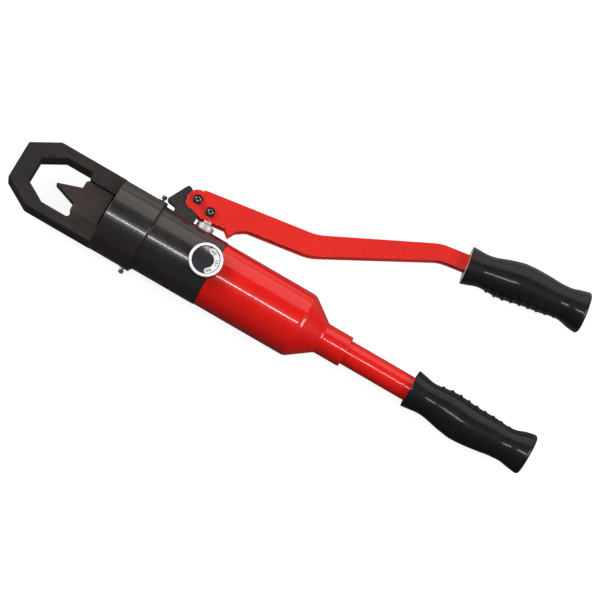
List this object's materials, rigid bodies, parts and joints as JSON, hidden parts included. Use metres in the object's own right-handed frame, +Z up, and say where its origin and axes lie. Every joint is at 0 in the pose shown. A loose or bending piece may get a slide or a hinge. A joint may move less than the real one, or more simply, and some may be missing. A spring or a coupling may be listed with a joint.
{
  "type": "hydraulic nut splitter",
  "caption": "Hand-operated hydraulic nut splitter with a hexagonal nut seat, a chisel ram, a pump lever, a release knob and a fixed handle.",
  "frame": {"origin": "centre of the hexagonal nut seat, at the middle of the head's thickness", "axes": "+X along the tool from the head to the handles, +Y towards the pump lever, +Z up on the release knob's side, through the nut's own axis"},
  "size_m": [0.4847, 0.1879, 0.0706],
  "materials": {
    "oxide_steel": "black oxide, satin, oiled",
    "black_steel": "black oxide, matt",
    "blade_steel": "hardened tool steel, browned, ground edge",
    "bright_steel": "ground",
    "seal_rubber": "nitrile, matt",
    "backup_plastic": "white backup ring",
    "spring_steel": "drawn wire",
    "bolt_steel": "dark zinc",
    "red_paint": "gloss enamel",
    "grip_black": "dipped vinyl, glossy",
    "chrome_plate": "bright chrome",
    "knob_metal": "turned, white bright rim",
    "disc_black": "gloss",
    "label_white": "printed plate, white"
  },
  "bodies": {
    "root": {"head_frame": "oxide_steel", "pump_body": "oxide_steel", "lever_bracket": "black_steel", "lock_ring": "black_steel", "lock_screws": "black_steel", "return_spring": "spring_steel", "body_stud": "bright_steel", "head_oring": "seal_rubber", "reservoir_oring": "seal_rubber", "pivot_bolt": "bolt_steel", "pivot_nut": "bolt_steel", "gland_nut": "chrome_plate", "gland_seal": "seal_rubber", "inlet_plug": "black_steel", "inlet_seat": "bright_steel", "outlet_screw": "bright_steel", "outlet_spring": "spring_steel", "relief_screw": "black_steel", "relief_spring": "spring_steel", "stem_seal": "seal_rubber", "reservoir_shell": "red_paint", "oil_bladder": "seal_rubber", "bladder_clamp": "bright_steel", "filler_plug": "bright_steel", "handle_tube": "red_paint", "fixed_grip": "grip_black"},
    "ram": {"blade": "blade_steel", "blade_pin": "bright_steel", "ram": "bright_steel", "ram_seal": "seal_rubber", "ram_backup_ring": "backup_plastic", "ram_stud": "bright_steel"},
    "lever": {"lever_channel": "red_paint", "drive_bolt": "bolt_steel", "drive_nut": "bolt_steel", "lever_grip": "grip_black"},
    "plunger": {"plunger": "chrome_plate"},
    "knob": {"release_stem": "bright_steel", "release_knob": "knob_metal", "knob_screw": "bolt_steel", "knob_disc": "disc_black", "knob_label": "label_white"},
    "inlet_ball": {"inlet_ball": "bright_steel"},
    "outlet_ball": {"outlet_ball": "bright_steel"},
    "relief_ball": {"relief_ball": "bright_steel"}
  },
  "joints": [
    {"name": "ram_slide", "type": "slide", "parent": "root", "child": "ram", "axis": [-1, 0, 0], "range_m": [-0.0185, 0.0065], "deforming": ["return_spring"]},
    {"name": "lever_hinge", "type": "hinge", "parent": "root", "child": "lever", "pos_m": [0.1088, 0.0473, 0], "axis": [0, 0, 1], "range_deg": [-6.5, 38]},
    {"name": "plunger_slide", "type": "slide", "parent": "root", "child": "plunger", "axis": [0, 1, 0], "range_m": [-0.0018, 0.0098]},
    {"name": "knob_turn", "type": "hinge", "parent": "root", "child": "knob", "pos_m": [0.1408, 0, 0.029], "axis": [0, 0, 1], "range_deg": [0, 90]},
    {"name": "inlet_ball_lift", "type": "slide", "parent": "root", "child": "inlet_ball", "axis": [0, 1, 0], "range_m": [0, 0.0007]},
    {"name": "outlet_ball_lift", "type": "slide", "parent": "root", "child": "outlet_ball", "axis": [-1, 0, 0], "range_m": [0, 0.0006], "stiffness_N_per_m": 300, "springref_m": -0.001, "deforming": ["outlet_spring"]},
    {"name": "relief_ball_lift", "type": "slide", "parent": "root", "child": "relief_ball", "axis": [0, 0, -1], "range_m": [0, 0.0006], "stiffness_N_per_m": 2000, "springref_m": -0.002, "deforming": ["relief_spring"]}
  ],
  "couplings": [
    {"joint": "plunger_slide", "follows": "lever_hinge", "m_per_rad": 0.01434}
  ]
}
